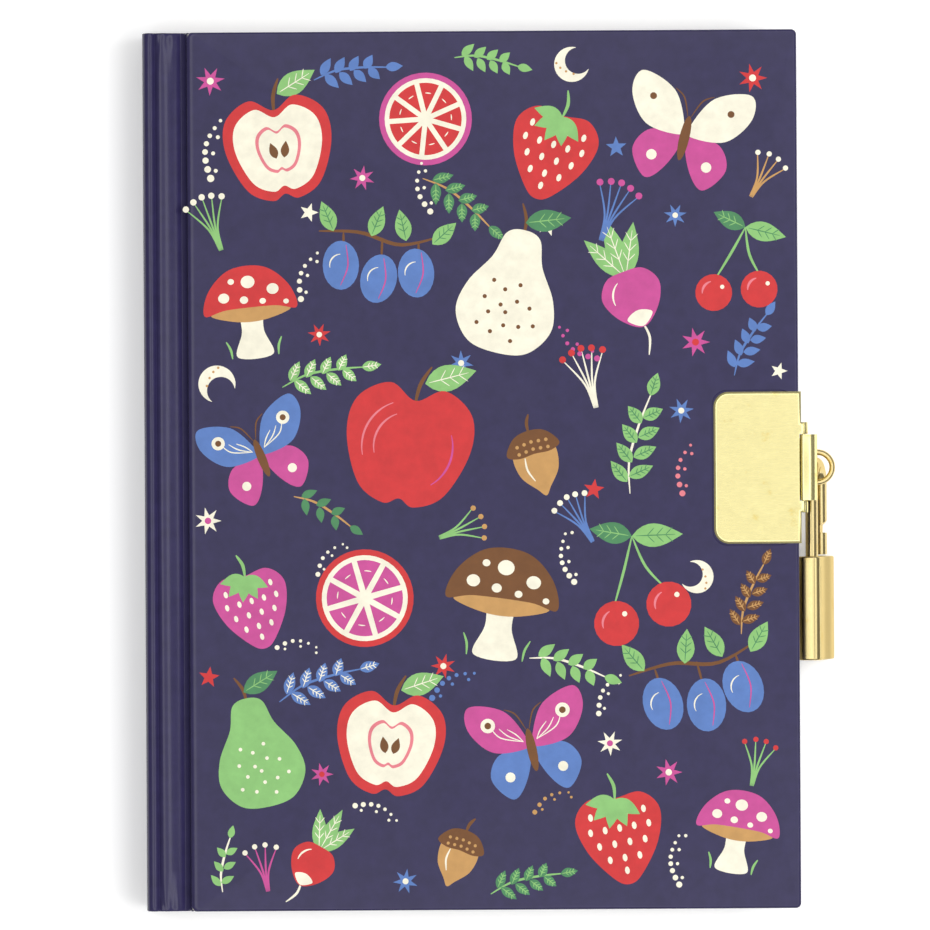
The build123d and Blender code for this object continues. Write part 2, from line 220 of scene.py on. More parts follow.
def spread(nodes, links, fac, low, high):
    """Spreads a noise's usual range over low to high."""
    node = nodes.new("ShaderNodeMapRange")
    node.inputs["From Min"].default_value = 0.25
    node.inputs["From Max"].default_value = 0.75
    node.inputs["To Min"].default_value = low
    node.inputs["To Max"].default_value = high
    links.new(fac, node.inputs["Value"])
    return node.outputs["Result"]


def bump(nodes, links, shader, height, strength, distance):
    node = nodes.new("ShaderNodeBump")
    node.inputs["Strength"].default_value = strength
    node.inputs["Distance"].default_value = distance * MM
    links.new(height, node.inputs["Height"])
    links.new(node.outputs["Normal"], shader.inputs["Normal"])


def shade(colour, factor):
    return tuple(min(1.0, c * factor) for c in colour)


def paper_film(name, colour, spread_by=0.12, rough=(0.16, 0.24)):
    """Printed paper under a gloss film: faint mottle, fine surface ripple."""
    mat, nodes, links, shader = new_material(name)
    place = coords(nodes, links)
    mottle = noise(nodes, links, place, 0.35, 4.0, 0.6)
    tones = ((0.3, shade(colour, 1 - spread_by)), (0.7, shade(colour, 1 + spread_by)))
    links.new(ramp(nodes, links, mottle, tones), shader.inputs["Base Color"])
    links.new(spread(nodes, links, noise(nodes, links, place, 0.08, 3.0), *rough), shader.inputs["Roughness"])
    shader.inputs["Specular IOR Level"].default_value = 0.34
    shader.inputs["Coat Weight"].default_value = 0.2
    shader.inputs["Coat Roughness"].default_value = 0.08
    bump(nodes, links, shader, noise(nodes, links, place, 1.6, 3.0, 0.6), 0.15, 0.02)
    return mat


def brass(name, colour, rough, stretch, painted_shade=None):
    """Polished brass with fine drawn lines and thin lacquer clouds.

    The last argument gives it a strip of painted shade down the middle of a face: darker brass that stands in for the
    dim, shadowed floor the face mirrors. It holds a middle, the direction across the strip, the distances in
    millimetres at which the plain tone starts and is full, and the painted shade's own tone.
    """
    mat, nodes, links, shader = new_material(name)
    place = coords(nodes, links)
    clouds = noise(nodes, links, place, 0.22, 5.0, 0.62)
    warm = tuple(c * k for c, k in zip(colour, WARM_LACQUER))
    tone = ramp(nodes, links, clouds, ((0.3, warm), (0.4, shade(colour, 0.97)), (0.55, colour),
                                       (0.8, shade(colour, 1.03))))
    # Painted shade: near the middle the colour is mixed towards the darker shade tone, fading to the plain tone by the
    # given distances.
    if painted_shade:
        middle, direction, near, far, shade_tone = painted_shade
        offset = nodes.new("ShaderNodeVectorMath")
        offset.operation = "SUBTRACT"
        offset.inputs[1].default_value = middle
        links.new(place, offset.inputs[0])
        along = nodes.new("ShaderNodeVectorMath")
        along.operation = "DOT_PRODUCT"
        along.inputs[1].default_value = direction
        links.new(offset.outputs["Vector"], along.inputs[0])
        reach = nodes.new("ShaderNodeMath")
        reach.operation = "ABSOLUTE"
        links.new(along.outputs["Value"], reach.inputs[0])
        out_of_shade = nodes.new("ShaderNodeMapRange")
        out_of_shade.interpolation_type = "SMOOTHSTEP"
        out_of_shade.inputs["From Min"].default_value = near
        out_of_shade.inputs["From Max"].default_value = far
        links.new(reach.outputs["Value"], out_of_shade.inputs["Value"])
        mix = nodes.new("ShaderNodeMix")
        mix.data_type = "RGBA"
        factor, first, second, result = mix.inputs[0], mix.inputs[6], mix.inputs[7], mix.outputs[2]  # colour sockets
        first.default_value = (*shade_tone, 1.0)
        links.new(out_of_shade.outputs["Result"], factor)
        links.new(tone, second)
        tone = result
    links.new(tone, shader.inputs["Base Color"])
    shader.inputs["Metallic"].default_value = 1.0
    shader.inputs["Specular Tint"].default_value = (*BRASS_GLANCE, 1.0)
    lines = noise(nodes, links, coords(nodes, links, stretch), 3.0, 3.0, 0.7)
    links.new(spread(nodes, links, lines, *rough), shader.inputs["Roughness"])
    bump(nodes, links, shader, lines, 0.25, 0.006)
    return mat


def paper(name, colour, fibre=2.2):
    """Uncoated paper with fibre grain and a faint tone drift."""
    mat, nodes, links, shader = new_material(name)
    place = coords(nodes, links)
    tone = noise(nodes, links, place, 0.06, 4.0, 0.6)
    links.new(ramp(nodes, links, tone, ((0.3, shade(colour, 0.97)), (0.7, shade(colour, 1.02)))),
              shader.inputs["Base Color"])
    links.new(spread(nodes, links, noise(nodes, links, place, 0.6), 0.75, 0.9), shader.inputs["Roughness"])
    shader.inputs["Specular IOR Level"].default_value = 0.2
    bump(nodes, links, shader, noise(nodes, links, place, fibre, 4.0, 0.7), 0.3, 0.02)
    return mat


NAVY = (0.028, 0.023, 0.078)
BRASS = (0.985, 0.885, 0.43)
WIRE_BRASS = (0.73, 0.59, 0.29)
LOCK_BRASS = (0.68, 0.55, 0.26)
# Darker brass painted as shade down the middle of the padlock's face.
PAINTED_SHADE_BRASS = (0.40, 0.31, 0.12)
WARM_LACQUER = (0.93, 0.86, 0.66)  # shares of the brass colour under thick lacquer
BRASS_GLANCE = (0.88, 0.78, 0.55)
LEAF_CREAM = (0.84, 0.80, 0.69)
ENDPAPER_CREAM = (0.80, 0.75, 0.64)
# Where the painted shade on the padlock's face starts to fade and where it is gone.
SHADE_NEAR, SHADE_FAR = 1.0, 4.6  # millimetres from the middle of the padlock's face
INKS = {
    "red": (0.60, 0.032, 0.034), "pink": (0.56, 0.072, 0.29), "cream": (0.88, 0.84, 0.68),
    "green": (0.25, 0.52, 0.17), "blue": (0.10, 0.20, 0.50), "brown": (0.17, 0.066, 0.018),
    "tan": (0.55, 0.30, 0.10), "rose": (0.75, 0.20, 0.24), "fern": (0.07, 0.24, 0.10),
}

case_paper = paper_film("navy_case_paper", NAVY)
sheet_brass = brass("polished_sheet_brass", BRASS, (0.16, 0.30), (0.3, 3.0, 1.0))
wire_brass = brass("drawn_brass_wire", WIRE_BRASS, (0.14, 0.26), (2.0, 0.3, 2.0))
# The padlock's brass carries a strip of painted shade down the middle of its face.
lock_brass = brass("padlock_brass", LOCK_BRASS, (0.14, 0.26), (2.0, 0.4, 2.0),
                   (LOCK_MID, LOCK_AXES.col[0], SHADE_NEAR, SHADE_FAR, PAINTED_SHADE_BRASS))
leaf_paper = paper("cream_leaf_paper", LEAF_CREAM)
end_paper = paper("endpaper_stock", ENDPAPER_CREAM, 1.2)


def greyboard_material():
    mat, nodes, links, shader = new_material("pressed_greyboard")
    place = coords(nodes, links)
    links.new(ramp(nodes, links, noise(nodes, links, place, 1.4, 6.0, 0.75),
                   ((0.3, (0.20, 0.185, 0.165)), (0.5, (0.33, 0.31, 0.28)), (0.7, (0.42, 0.40, 0.36)))),
              shader.inputs["Base Color"])
    shader.inputs["Roughness"].default_value = 0.92
    bump(nodes, links, shader, noise(nodes, links, coords(nodes, links, (1, 1, 6)), 1.5, 4.0), 0.5, 0.05)
    return mat


def gauze_material():
    mat, nodes, links, shader = new_material("glued_gauze")
    weave = nodes.new("ShaderNodeTexChecker")
    weave.inputs["Scale"].default_value = 2.0
    weave.inputs["Color1"].default_value = (0.72, 0.68, 0.58, 1)
    weave.inputs["Color2"].default_value = (0.60, 0.55, 0.45, 1)
    place = coords(nodes, links)
    links.new(place, weave.inputs["Vector"])
    links.new(weave.outputs["Color"], shader.inputs["Base Color"])
    shader.inputs["Roughness"].default_value = 0.85
    bump(nodes, links, shader, noise(nodes, links, place, 2.0), 0.5, 0.05)
    return mat


def band_material():
    mat, nodes, links, shader = new_material("striped_band_cloth")
    wave = nodes.new("ShaderNodeTexWave")
    wave.wave_type = "BANDS"
    wave.bands_direction = "Z"
    wave.inputs["Scale"].default_value = 0.16
    wave.inputs["Distortion"].default_value = 0.4
    place = coords(nodes, links)
    links.new(place, wave.inputs["Vector"])
    links.new(ramp(nodes, links, wave.outputs["Fac"], ((0.46, (0.55, 0.06, 0.07)), (0.54, (0.82, 0.77, 0.66)))),
              shader.inputs["Base Color"])
    shader.inputs["Roughness"].default_value = 0.8
    shader.inputs["Sheen Weight"].default_value = 0.2
    bump(nodes, links, shader, noise(nodes, links, place, 5.0, 2.0), 0.5, 0.04)
    return mat


def steel_material():
    mat, nodes, links, shader = new_material("plain_lock_steel")
    place = coords(nodes, links, (1, 4, 1))
    links.new(ramp(nodes, links, noise(nodes, links, place, 0.9, 5.0),
                   ((0.3, (0.42, 0.42, 0.43)), (0.7, (0.58, 0.58, 0.59)))), shader.inputs["Base Color"])
    shader.inputs["Metallic"].default_value = 1.0
    links.new(spread(nodes, links, noise(nodes, links, place, 2.5), 0.28, 0.45), shader.inputs["Roughness"])
    bump(nodes, links, shader, noise(nodes, links, place, 4.0), 0.2, 0.01)
    return mat


greyboard = greyboard_material()
gauze = gauze_material()
band_cloth = band_material()
lock_steel = steel_material()


# Covers: paper drawn over each board and turned in on the inside

BOARD_X = -57.85  # where a cover's paper ends beside the groove
PAPER = 0.32  # thickness
PAPER_EDGE = 0.6
PAPER_CORNER = 1.1
LEAST_CORNER = 0.25
EDGE_STEPS = 6
SHOULDER = 2.6  # how much wider the rounded edge is beside the groove
TURN_IN = 3.0
TURN_IN_HIGH, TURN_IN_LOW = 0.26, 0.02  # faces of the turn-in, above the block
BACK_PLATE_PROUD = 0.03  # how far the back plate stands out of the paper
BED_MARGIN = 0.36
BED_END_X = FORE_X - 0.7
BED_CORNER = 3.1
BED_WALL = ((0.0, 0.0), (0.03, 0.12), (0.1, 0.27))  # inset and depth


def plate_bed(bm, rim):
    """Opens the cover's upper face for a shallow pressed bed, a little larger than the brass plate in it."""
    low_x = PLATE_X - BED_MARGIN
    half = PLATE_LENGTH / 2 + BED_MARGIN
    loops = []
    for inset, depth in BED_WALL:
        outline = round_rect(low_x + inset, BED_END_X - inset, LOCK_Y - half + inset, LOCK_Y + half - inset,
                             BED_CORNER)
        loops.append([bm.verts.new((x, y, TOP_Z - depth)) for x, y in outline])
    bm.faces.remove(rim)
    for upper, lower in zip(loops, loops[1:]):
        for i in range(len(upper)):
            j = (i + 1) % len(upper)
            bm.faces.new((upper[i], upper[j], lower[j], lower[i]))
    bm.faces.new(loops[-1])
    open_edges = [e for e in bm.edges if len(e.link_faces) == 1]
    bmesh.ops.triangle_fill(bm, use_beauty=True, edges=open_edges)


def cover_paper(name, body, node, front):
    """Paper round one board, skinned from the board's hollow over the turn-in and the edge to the outer face."""
    edge = PAPER_EDGE
    profile = [(PAPER, TOP_Z - PAPER, 1.0), (PAPER, BLOCK_HIGH + PAPER, 1.0),
               (TURN_IN, BLOCK_HIGH + TURN_IN_HIGH, 1.0), (TURN_IN, BLOCK_HIGH + TURN_IN_LOW, 1.0)]
    for a in quarter(EDGE_STEPS):
        profile.append((edge - edge * math.sin(a), BLOCK_HIGH + edge - edge * math.cos(a), 1.0))
    for a in quarter(EDGE_STEPS):
        profile.append((edge - edge * math.cos(a), TOP_Z - edge + edge * math.sin(a), SHOULDER))
    loops = []
    for inset, z, slope in profile:
        radius = max(PAPER_CORNER - inset, LEAST_CORNER)
        rim = round_rect(BOARD_X + slope * inset, FORE_X - inset, -HEAD_Y + inset, HEAD_Y - inset, radius)
        loops.append([(x, y, z if front else max(TOP_Z - z, BACK_PLATE_PROUD)) for x, y in rim])
    bm = bmesh.new()
    skin(bm, loops)
    if front:
        bm.faces.ensure_lookup_table()
        plate_bed(bm, bm.faces[-1])
    return dress(finish_mesh(bm, name, 50.0), body, case_paper, (node,))


cover_paper("front_cover_paper", "front_cover", "front_cover_wrap", True)
cover_paper("back_cover_paper", "back_cover", "back_cover_wrap", False)


# Spine paper: round the spine, over the crest and down into the groove

SPINE_FLAT = 5.95  # half the flat of the spine
SPINE_CORNER = 1.7
# X and Z of the paper from the spine's corner over the crest and through the groove to the board
CREST_AND_GROOVE = (
    (-64.95, 16.67), (-64.72, 16.43), (-64.52, 16.2), (-64.48, 16.16), (-64.44, 16.14), (-64.4, 16.16),
    (-64.2, 16.34), (-63.95, 16.55), (-63.7, 16.68), (-63.4, 16.76), (-63.0, 16.79), (-62.55, 16.78),
    (-62.15, 16.7), (-61.75, 16.575), (-61.35, 16.43), (-60.95, 16.28), (-60.55, 16.13), (-60.25, 16.035),
    (-60.05, 15.975), (-59.8, 15.86), (-59.5, 15.71), (-59.2, 15.555), (-59.15, 15.53), (-59.1, 15.515),
    (-59.05, 15.53), (-58.8, 15.66), (-58.5, 15.84), (-58.3, 16.0), (-58.15, 16.18), (-58.02, 16.45),
    (-57.92, 16.85))
# Stations from the head: place along Y, depth of the outer and of the inner face. The paper is double where it is
# turned in.
TURNED_IN_Y = (89.75, 89.2, 88.5, 87.6, 86.6, 85.4, 84.0, 82.0)
SPINE_END = ((90.0, 0.2, 0.42), (89.93, 0.07, 0.55), *((y, 0.0, 0.6) for y in TURNED_IN_Y), (81.7, 0.0, 0.3))
SPINE_RUN = [(y, 0.0, 0.3) for y in range(78, -79, -3)]
CRUSH_FROM, CRUSH_LENGTH = 80.0, 10.0  # the paper is creased near head and tail
CREST_X, FOLD_X, RIDGE_X = -62.6, -64.6, -60.8
HELD_AT_SPINE, HELD_AT_BOARD = 1.5, 0.8  # strips that stay even
GROOVE_FLOOR = 15.45


def spine_profile():
    """Outer line of the paper, from the middle of the spine to the foot of the cover board, front side."""
    line = [(SPINE_X, MID_Z + SPINE_FLAT * i / 6) for i in range(7)]
    for i in range(1, 9):
        a = math.radians(180 - 90 * i / 8)
        line.append((SPINE_X + SPINE_CORNER + SPINE_CORNER * math.cos(a),
                     MID_Z + SPINE_FLAT + SPINE_CORNER * math.sin(a)))
    return line + list(CREST_AND_GROOVE)


def rise(x, middle, width):
    """A smooth rise of height 1 at middle."""
    return math.exp(-((x - middle) / width) ** 2)


def spine_wave(x, y, ripple):
    """Height of the paper's unevenness: long waves, and at head and tail ripples, dents and a ridge."""
    end = max(0.0, abs(y) - CRUSH_FROM) / CRUSH_LENGTH
    wave = 0.015 * math.sin(y / 9.0 + ripple[0]) + 0.02 * math.sin(y / 23.0 + ripple[1] + x) - 0.03
    wave += 0.05 * end * math.sin(y * 1.9 + x * 1.7 + ripple[2])
    wave -= 0.3 * end * end * rise(x, CREST_X + 0.8 * end, 0.8)
    wave -= 0.2 * end * rise(x, FOLD_X + 1.2 * end, 0.35)
    wave += 0.12 * end * rise(x, RIDGE_X, 0.3)
    free_of_spine = min(1.0, max(0.0, (x - SPINE_X) / HELD_AT_SPINE))
    free_of_board = min(1.0, max(0.0, (BOARD_X - x) / HELD_AT_BOARD))
    return wave * free_of_spine * free_of_board


def offset_line(line, depth):
    """The line moved inwards by depth."""
    moved = []
    for i, (x, z) in enumerate(line):
        ax, az = line[max(i - 1, 0)]
        bx, bz = line[min(i + 1, len(line) - 1)]
        length = math.hypot(bx - ax, bz - az)
        moved.append((x + depth * (bz - az) / length, z - depth * (bx - ax) / length))
    return moved


def spine_paper(name, nodes, front):
    """Half of the spine's paper, from the middle of the spine over the crest and through one cover's groove."""
    line = spine_profile()
    run = [*SPINE_END, *SPINE_RUN, *((-y, cut, deep) for y, cut, deep in reversed(SPINE_END))]
    ripple = [rng.uniform(0, math.tau) for _ in range(4)]
    loops = []
    for y, cut, deep in run:
        outer = offset_line(line, cut)
        inner = offset_line(line, deep)
        ring = []
        for k, (x, z) in enumerate(outer + inner[::-1]):
            z += spine_wave(x, y, ripple)
            z = max(z, GROOVE_FLOOR) if k < len(line) else z
            ring.append((x, y, z if front else TOP_Z - z))
        loops.append(ring)
    bm = bmesh.new()
    skin(bm, loops)
    obj = dress(finish_mesh(bm, name, 50.0), None, case_paper, nodes)
    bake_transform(obj)
    return obj


spine_paper("front_spine_paper", ("spine_wrap", "front_groove_strip"), True)
spine_paper("back_spine_paper", ("back_groove_strip",), False)


# Leaves: single sheets with slightly uneven edges

SECTION_LEAVES = 20
GROUP_LEAVES = 7
SHEET_GAP = 0.006
BACK_INSET = 0.02
FLY_RAGGED = 0.05
# Places where a turning leaf can bend, close together at its fold
BEND_STOPS = [-63.0 + 0.4 * i for i in range(36)] + [-45.0, -38.0, -25.0, 0.0, 30.0]


def back_line(z):
    """X of the block's rounded back at height z."""
    return BACK_CENTRE_X - math.sqrt(BACK_RADIUS ** 2 - (z - MID_Z) ** 2)


def leaf_slab(bm, z_low, z_high, x_low, x_stops, ragged):
    """One closed sheet. x_stops are the places along X where it can bend."""
    fore = PAGE_X - rng.uniform(0.0, ragged)
    head = PAGE_Y - rng.uniform(0.0, ragged)
    tail = -PAGE_Y + rng.uniform(0.0, ragged)
    xs = [x_low] + [x for x in x_stops if x > x_low + 0.2] + [fore]
    loops = []
    for x in xs:
        loops.append([(x, tail, z_low), (x, head, z_low), (x, head, z_high), (x, tail, z_high)])
    skin(bm, loops)


def leaf_stack(name, z_low, z_high, count, x_stops, ragged=0.09):
    """A stack of sheets whose edges differ by up to ragged."""
    bm = bmesh.new()
    step = (z_high - z_low) / count
    for i in range(count):
        low = z_low + i * step
        leaf_slab(bm, low + SHEET_GAP, low + step - SHEET_GAP, back_line(low + step / 2) + BACK_INSET, x_stops, ragged)
    return finish_mesh(bm, name, 30.0)


def height_range(node):
    """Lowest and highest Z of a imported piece."""
    low, high = packed_box(node)
    return low[2], high[2]


for i in range(1, 5):
    low, high = height_range(f"section_{i}")
    stack = leaf_stack(f"section_leaves_{i}", low, high, SECTION_LEAVES, [])
    dress(stack, "block", leaf_paper, (f"section_{i}",))

for i in range(1, 5):
    low, high = height_range(f"leaves_{i}")
    stack = leaf_stack(f"turning_leaves_{i}", low, high, GROUP_LEAVES, BEND_STOPS)
    hidden = (f"leaves_{i}", "leaf_folds") if i == 1 else (f"leaves_{i}",)
    dress(stack, None, leaf_paper, hidden)
    mid = (low + high) / 2 * MM
    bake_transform(stack)

low, high = height_range("front_flyleaf")
fly = leaf_stack("front_fly_sheet", low, high, 1, BEND_STOPS, FLY_RAGGED)
dress(fly, None, end_paper, ("front_flyleaf",))
mid = (low + high) / 2 * MM
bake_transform(fly)


# Head and tail bands: corded cloth along the rounded back

BAND_STEPS = 96
BAND_SIDES = 12
BAND_END_GAP = 0.15
BAND_OUT = 0.34  # half sizes of the band's section, across the back and along it
BAND_TALL = 0.44
BAND_MID_Y = PAGE_Y + 0.5
BAND_SINK = 0.05
CORD_STEPS = 3.0
CORD_SWELL = 0.12


def band(name, node, side):
    """A corded band along the block's rounded back, at the head or the tail."""
    bm = bmesh.new()
    loops = []
    for i in range(BAND_STEPS + 1):
        z = BLOCK_LOW + BAND_END_GAP + (BLOCK_HIGH - BLOCK_LOW - 2 * BAND_END_GAP) * i / BAND_STEPS
        swell = 1.0 + CORD_SWELL * math.sin(math.tau * i / CORD_STEPS)
        slope = (z - MID_Z) / BACK_RADIUS
        cx = BACK_CENTRE_X - (BACK_RADIUS - BAND_SINK) * math.sqrt(1 - slope * slope)
        ring = []
        for k in range(BAND_SIDES):
            a = math.tau * k / BAND_SIDES
            y = BAND_MID_Y + BAND_TALL * swell * math.sin(a)
            ring.append((cx + BAND_OUT * swell * math.cos(a), side * y, z))
        loops.append(ring)
    skin(bm, loops)
    dress(finish_mesh(bm, name, 60.0), "block", band_cloth, (node,))


band("corded_head_band", "head_band", 1)
band("corded_tail_band", "tail_band", -1)


# Printed design: orchard fruit, mushrooms, moths, sprigs, stars and dots

design = {ink: [] for ink in INKS}
PRINT_LOW = TOP_Z - 0.01
PRINT_STEP = 0.012  # between levels
PRINT_SHIFT = 0.0004  # between shapes of one ink and level, so that no two faces coincide
PRINT_SHIFTS = 24


def curve_point(four, t):
    """The point at t, from 0 to 1, between the middle two of four points on a smooth line."""
    return tuple(0.5 * (2 * b + (c - a) * t + (2 * a - 5 * b + 4 * c - d) * t * t
                        + (3 * b - a - 3 * c + d) * t ** 3)
                 for a, b, c, d in zip(*four))


def spline(points, per=8):
    """A smooth closed line through the points."""
    out = []
    n = len(points)
    for i in range(n):
        four = [points[(i + k) % n] for k in (-1, 0, 1, 2)]
        out += [curve_point(four, s / per) for s in range(per)]
    return out


def mirrored(half):
    """Closes a half outline given from top to bottom on the right side."""
    return half + [(-x, y) for x, y in reversed(half) if abs(x) > 1e-6]


class Place:
    """A motif's own place on the cover: centre, scale in millimetres and turn in degrees.

    Its shapes are drawn in shares of the scale. A higher level prints over a lower one.
    """

    def __init__(self, x, y, scale, turn=0.0):
        self.x, self.y, self.scale = x, y, scale
        self.c, self.s = math.cos(math.radians(turn)), math.sin(math.radians(turn))

    def at(self, p):
        return (self.x + self.scale * (p[0] * self.c - p[1] * self.s),
                self.y + self.scale * (p[0] * self.s + p[1] * self.c))

    def fill(self, ink, level, points):
        design[ink].append((level, [self.at(p) for p in points], None))

    def line(self, ink, level, points, width):
        """An open brush line; width in millimetres at its middle."""
        design[ink].append((level, [self.at(p) for p in points], width))

    def disc(self, ink, level, x, y, r, tall=1.0, turn=0.0, n=20):
        c, s = math.cos(math.radians(turn)), math.sin(math.radians(turn))
        ring = [(r * math.cos(math.tau * i / n), r * tall * math.sin(math.tau * i / n)) for i in range(n)]
        self.fill(ink, level, [(x + u * c - v * s, y + u * s + v * c) for u, v in ring])

    def leaf(self, ink, level, x, y, length, width, turn, vein=None):
        c, s = math.cos(math.radians(turn)), math.sin(math.radians(turn))
        n = 9
        side = [(length * i / n, width * math.sin(math.pi * (i / n) ** 0.8)) for i in range(n + 1)]
        ring = side + [(u, -v) for u, v in side[-2:0:-1]]
        self.fill(ink, level, [(x + u * c - v * s, y + u * s + v * c) for u, v in ring])
        if vein:
            self.line(vein, level + 1, [(x + length * t * c, y + length * t * s) for t in (0.08, 0.4, 0.85)], 0.22)
            for t in (0.3, 0.48, 0.66):
                for d in (-1, 1):
                    tip = (length * (t + 0.14), d * width * 0.62)
                    self.line(vein, level + 1, [(x + length * t * c, y + length * t * s),
                                                (x + tip[0] * c - tip[1] * s, y + tip[0] * s + tip[1] * c)], 0.18)


def arc(cx, cy, r, start, end, n=9):
    return [(cx + r * math.cos(math.radians(start + (end - start) * i / n)),
             cy + r * math.sin(math.radians(start + (end - start) * i / n))) for i in range(n + 1)]


def apple(x, y, s, turn, cut):
    p = Place(x, y, s, turn)
    half = [(0, 0.7), (0.42, 0.92), (0.88, 0.62), (0.95, 0.05), (0.66, -0.66), (0.24, -0.9), (0, -0.8)]
    body = spline(mirrored(half))
    p.line("brown", 1, [(0, 0.6), (0.03, 0.95), (0.16, 1.25)], 0.8)
    p.leaf("green", 2, 0.1, 0.98, 0.8, 0.2, 24, "cream")
    p.fill("red", 3, body)
    if cut:
        p.fill("cream", 4, [(0.82 * u, 0.82 * v) for u, v in body])
        p.fill("rose", 5, [(0.42 * u, 0.46 * v) for u, v in body])
        p.fill("cream", 6, [(0.36 * u, 0.4 * v) for u, v in body])
        for d in (-1, 1):
            p.leaf("brown", 7, 0.07 * d, -0.16, 0.3, 0.075, 90 - 14 * d)
    else:
        for r in (0.52, 0.7):
            p.line("rose", 4, arc(0, 0, r, 118, 200), 0.45)
        p.line("pink", 4, arc(0, 0, 0.68, -50, 24), 0.45)


def pear(x, y, s, turn, skin_ink, dot_ink):
    p = Place(x, y, s, turn)
    half = [(0, 1.08), (0.28, 0.98), (0.42, 0.55), (0.72, 0.05), (0.8, -0.45), (0.5, -0.88), (0, -0.98)]
    p.line("brown", 1, [(0, 0.95), (-0.02, 1.25), (-0.14, 1.5)], 0.7)
    p.leaf("fern", 2, -0.02, 1.2, 0.75, 0.18, 20, "green")
    p.fill(skin_ink, 3, spline(mirrored(half)))
    for i in range(15):
        a = i * 2.4
        r = 0.14 * math.sqrt(i)
        p.disc(dot_ink, 4, r * math.cos(a), -0.3 + r * 1.1 * math.sin(a), 0.035, n=10)


def cherries(x, y, s, turn):
    p = Place(x, y, s, turn)
    for u, v in ((-0.52, -0.6), (0.5, -0.42)):
        p.line("green", 1, [(0.05, 0.95), (0.4 * u, 0.35), (u, v + 0.3)], 0.55)
        p.disc("red", 3, u, v, 0.42)
        p.line("rose", 4, arc(u, v, 0.26, 110, 190), 0.5)
        p.disc("cream", 4, u + 0.18, v + 0.15, 0.05, n=10)
    p.leaf("green", 2, 0.05, 0.95, 0.95, 0.22, -8, "fern")
    p.leaf("fern", 2, 0.05, 0.95, 0.8, 0.2, 160, "green")


def mushroom(x, y, s, turn, cap_ink):
    p = Place(x, y, s, turn)
    p.fill("cream", 2, spline([(-0.22, 0.1), (0.22, 0.1), (0.24, -0.45), (0.38, -0.98), (-0.38, -0.98),
                               (-0.24, -0.45)]))
    p.fill("tan", 3, spline([(-0.86, -0.02), (0, 0.12), (0.86, -0.02), (0.3, -0.22), (-0.3, -0.22)]))
    p.fill(cap_ink, 4, spline([(-1.0, -0.02), (-0.86, 0.5), (-0.36, 0.92), (0.36, 0.92), (0.86, 0.5), (1.0, -0.02),
                               (0.5, 0.06), (-0.5, 0.06)]))
    for u, v, r in ((-0.55, 0.32, 0.12), (0, 0.62, 0.15), (0.52, 0.42, 0.13), (-0.12, 0.24, 0.09), (0.28, 0.18, 0.07),
                    (-0.36, 0.66, 0.07), (0.78, 0.12, 0.06)):
        p.disc("cream", 5, u, v, r, 0.9)
    for k in range(5):
        p.line("green", 1, [(-0.5 + 0.25 * k, -1.0), (-0.52 + 0.26 * k, -0.8), (-0.6 + 0.3 * k, -0.62)], 0.5)


def strawberry(x, y, s, turn, ink):
    p = Place(x, y, s, turn)
    half = [(0, 0.62), (0.5, 0.66), (0.8, 0.3), (0.66, -0.3), (0.26, -0.86), (0, -1.0)]
    p.fill(ink, 2, spline(mirrored(half)))
    for v, count, wide in ((0.34, 4, 1.0), (0.06, 5, 1.1), (-0.22, 4, 0.86), (-0.5, 3, 0.56), (-0.74, 1, 0.0)):
        for k in range(count):
            u = 0.0 if count == 1 else wide * (k / (count - 1) - 0.5)
            p.disc("cream", 3, u, v, 0.045, 1.6, n=10)
    for k in range(5):
        p.leaf("green", 4, 0, 0.6, 0.55, 0.13, 200 + 35 * k - 20)
    p.line("green", 4, [(0, 0.58), (0.03, 0.85), (-0.05, 1.1)], 0.7)


def citrus(x, y, s, rind, flesh, parts):
    p = Place(x, y, s, rng.uniform(0, 60))
    p.disc(rind, 1, 0, 0, 1.0, n=40)
    p.disc("cream", 2, 0, 0, 0.88, n=40)
    for k in range(parts):
        mid = 360 * k / parts
        half = 180 / parts - 4
        rim = arc(0, 0, 0.78, mid - half, mid + half, 6)
        core = 0.16
        p.fill(flesh, 3, rim + [(core * math.cos(math.radians(mid)), core * math.sin(math.radians(mid)))])
        p.line("cream", 4, arc(0, 0, 0.56, mid - half * 0.4, mid + half * 0.4, 4), 0.25)


def moth(x, y, s, turn, wing, hind):
    p = Place(x, y, s, turn)
    for d in (-1, 1):
        upper = [(0.05, 0.2), (0.35, 0.75), (0.95, 0.95), (1.05, 0.55), (0.7, 0.08), (0.1, 0.02)]
        lower = [(0.06, 0.0), (0.6, 0.0), (0.82, -0.4), (0.5, -0.82), (0.18, -0.5)]
        p.fill(wing, 2, spline([(d * u, v) for u, v in upper]))
        p.fill(hind, 1, spline([(d * u, v) for u, v in lower]))
        p.disc("cream", 3, d * 0.68, 0.56, 0.13)
        p.disc("brown", 4, d * 0.68, 0.56, 0.06, n=12)
        p.disc("cream", 3, d * 0.48, -0.42, 0.09, n=14)
        for t in (0.22, 0.36, 0.5):
            p.line("cream", 3, [(d * 0.12, 0.15), (d * t, 0.3), (d * (t + 0.14), 0.36 + 0.3 * t)], 0.25)
        p.line("brown", 4, [(d * 0.03, 0.36), (d * 0.16, 0.66), (d * 0.34, 0.78)], 0.3)
    p.disc("brown", 5, 0, -0.02, 0.085, 4.6)


def radish(x, y, s, turn, ink):
    p = Place(x, y, s, turn)
    for a, length in ((62, 1.15), (90, 1.3), (118, 1.15)):
        p.leaf("green", 1, 0, 0.35, length, 0.2, a, "cream")
    p.line("cream", 2, [(0, -0.6), (0.04, -0.95), (-0.1, -1.3)], 0.5)
    p.fill(ink, 3, spline(mirrored([(0, 0.48), (0.4, 0.42), (0.62, 0.05), (0.42, -0.42), (0, -0.72)])))
    p.fill("cream", 4, spline(mirrored([(0, -0.36), (0.2, -0.42), (0.26, -0.52), (0, -0.7)])))
    p.line("cream", 4, arc(0, -0.05, 0.4, 120, 190), 0.4)


